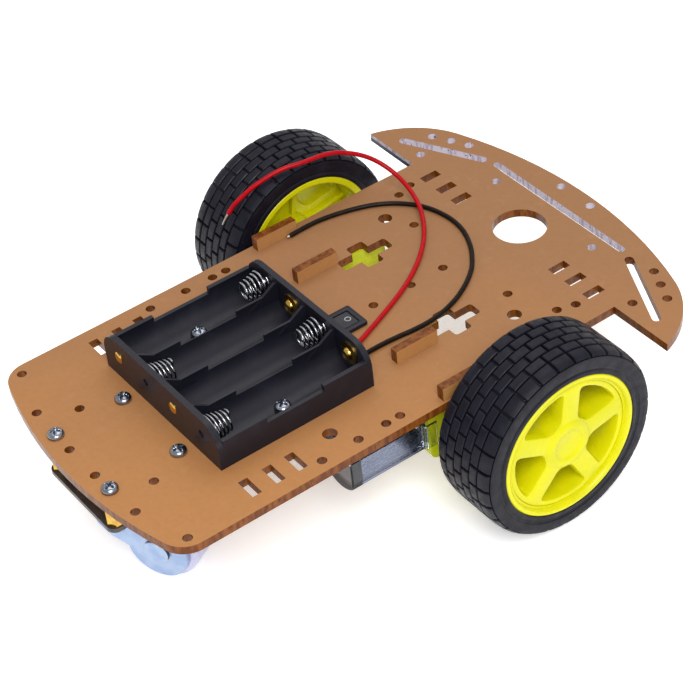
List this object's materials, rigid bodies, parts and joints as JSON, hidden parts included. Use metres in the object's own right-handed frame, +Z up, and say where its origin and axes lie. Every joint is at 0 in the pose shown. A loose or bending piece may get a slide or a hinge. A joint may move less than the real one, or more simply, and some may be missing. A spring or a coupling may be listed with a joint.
{
  "type": "line follower robot",
  "caption": "Two-wheel robot car on an acrylic deck with geared motors, swivel caster, cell holder, rocker switch and loose supply wires.",
  "frame": {"origin": "on the ground, below the middle of the deck", "axes": "+X towards the crescent nose, +Y to the left wheel, +Z up"},
  "size_m": [0.2048, 0.1616, 0.0683],
  "materials": {
    "acrylic_film": "brown protective paper film on clear acrylic sheet",
    "screw_steel": "nickel plated",
    "gearbox_plastic": "moulded yellow",
    "pin_steel": "ground steel",
    "gear_plastic": "natural nylon",
    "motor_steel": "plated steel can",
    "rotor_steel": "laminations and enamelled copper",
    "black_plastic": "moulded black",
    "clear_plastic": "clear moulded strap",
    "rim_plastic": "moulded yellow-green",
    "tyre_rubber": "black rubber",
    "spring_steel": "nickel plated spring wire",
    "brass": "bright brass",
    "switch_gloss": "polished black",
    "tinned_terminals": "tinned brass",
    "zinc_steel": "blue-white zinc plate",
    "caster_nylon": "pale blue-grey nylon",
    "red_insulation": "red PVC",
    "black_insulation": "black PVC"
  },
  "bodies": {
    "chassis": {"chassis_plate": "acrylic_film", "left_inner_bracket": "acrylic_film", "left_outer_bracket": "acrylic_film", "right_inner_bracket": "acrylic_film", "right_outer_bracket": "acrylic_film", "motor_bolts": "screw_steel", "motor_nuts": "screw_steel", "left_gearbox_inner_shell": "gearbox_plastic", "left_gearbox_outer_shell": "gearbox_plastic", "left_gear_pins": "pin_steel", "left_motor_can": "motor_steel", "left_motor_end_cap": "black_plastic", "left_motor_strap": "clear_plastic", "right_gearbox_inner_shell": "gearbox_plastic", "right_gearbox_outer_shell": "gearbox_plastic", "right_gear_pins": "pin_steel", "right_motor_can": "motor_steel", "right_motor_end_cap": "black_plastic", "right_motor_strap": "clear_plastic", "battery_holder": "black_plastic", "battery_springs": "spring_steel", "battery_contacts": "brass", "holder_screws": "screw_steel", "holder_nuts": "screw_steel", "switch_body": "black_plastic", "switch_terminals": "tinned_terminals", "caster_standoffs": "brass", "caster_top_screws": "screw_steel", "caster_bottom_screws": "screw_steel", "caster_plate": "zinc_steel", "caster_kingpin": "zinc_steel", "caster_balls": "pin_steel", "red_wire": "red_insulation", "black_wire": "black_insulation"},
    "left_wheel": {"left_wheel_rim": "rim_plastic", "left_tyre": "tyre_rubber", "left_output_gear": "gear_plastic"},
    "left_idler": {"left_idler_gear": "gear_plastic"},
    "left_crown": {"left_crown_gear": "gear_plastic"},
    "left_rotor": {"left_motor_rotor": "rotor_steel"},
    "right_wheel": {"right_wheel_rim": "rim_plastic", "right_tyre": "tyre_rubber", "right_output_gear": "gear_plastic"},
    "right_idler": {"right_idler_gear": "gear_plastic"},
    "right_crown": {"right_crown_gear": "gear_plastic"},
    "right_rotor": {"right_motor_rotor": "rotor_steel"},
    "caster_swivel": {"caster_fork": "zinc_steel", "caster_axle": "zinc_steel"},
    "caster_roller": {"caster_wheel": "caster_nylon"},
    "rocker": {"switch_rocker": "switch_gloss"}
  },
  "joints": [
    {"name": "left_wheel_spin", "type": "hinge", "parent": "chassis", "child": "left_wheel", "pos_m": [0.0273, 0.0385, 0.033], "axis": [0, 1, 0], "continuous": true},
    {"name": "left_idler_spin", "type": "hinge", "parent": "chassis", "child": "left_idler", "pos_m": [0.01717, 0.0385, 0.033], "axis": [0, 1, 0], "continuous": true},
    {"name": "left_crown_spin", "type": "hinge", "parent": "chassis", "child": "left_crown", "pos_m": [0.00817, 0.0385, 0.033], "axis": [0, 1, 0], "continuous": true},
    {"name": "left_rotor_spin", "type": "hinge", "parent": "chassis", "child": "left_rotor", "pos_m": [-0.014, 0.0385, 0.033], "axis": [1, 0, 0], "continuous": true},
    {"name": "right_wheel_spin", "type": "hinge", "parent": "chassis", "child": "right_wheel", "pos_m": [0.0273, -0.0385, 0.033], "axis": [0, 1, 0], "continuous": true},
    {"name": "right_idler_spin", "type": "hinge", "parent": "chassis", "child": "right_idler", "pos_m": [0.01717, -0.0385, 0.033], "axis": [0, 1, 0], "continuous": true},
    {"name": "right_crown_spin", "type": "hinge", "parent": "chassis", "child": "right_crown", "pos_m": [0.00817, -0.0385, 0.033], "axis": [0, 1, 0], "continuous": true},
    {"name": "right_rotor_spin", "type": "hinge", "parent": "chassis", "child": "right_rotor", "pos_m": [-0.014, -0.0385, 0.033], "axis": [1, 0, 0], "continuous": true},
    {"name": "caster_turn", "type": "hinge", "parent": "chassis", "child": "caster_swivel", "pos_m": [-0.084, 0, 0.0281], "axis": [0, 0, 1], "continuous": true},
    {"name": "caster_roll", "type": "hinge", "parent": "caster_swivel", "child": "caster_roller", "pos_m": [-0.07804, -0.01121, 0.0125], "axis": [0.8829, 0.4695, 0], "continuous": true},
    {"name": "rocker_tilt", "type": "hinge", "parent": "chassis", "child": "rocker", "pos_m": [-0.0007, -0.0012, 0.0465], "axis": [0, 1, 0], "range_deg": [-18, 0]}
  ],
  "couplings": [
    {"joint": "left_idler_spin", "follows": "left_wheel_spin", "ratio": -4},
    {"joint": "left_crown_spin", "follows": "left_wheel_spin", "ratio": 12},
    {"joint": "left_rotor_spin", "follows": "left_wheel_spin", "ratio": 48},
    {"joint": "right_idler_spin", "follows": "right_wheel_spin", "ratio": -4},
    {"joint": "right_crown_spin", "follows": "right_wheel_spin", "ratio": 12},
    {"joint": "right_rotor_spin", "follows": "right_wheel_spin", "ratio": -48}
  ]
}
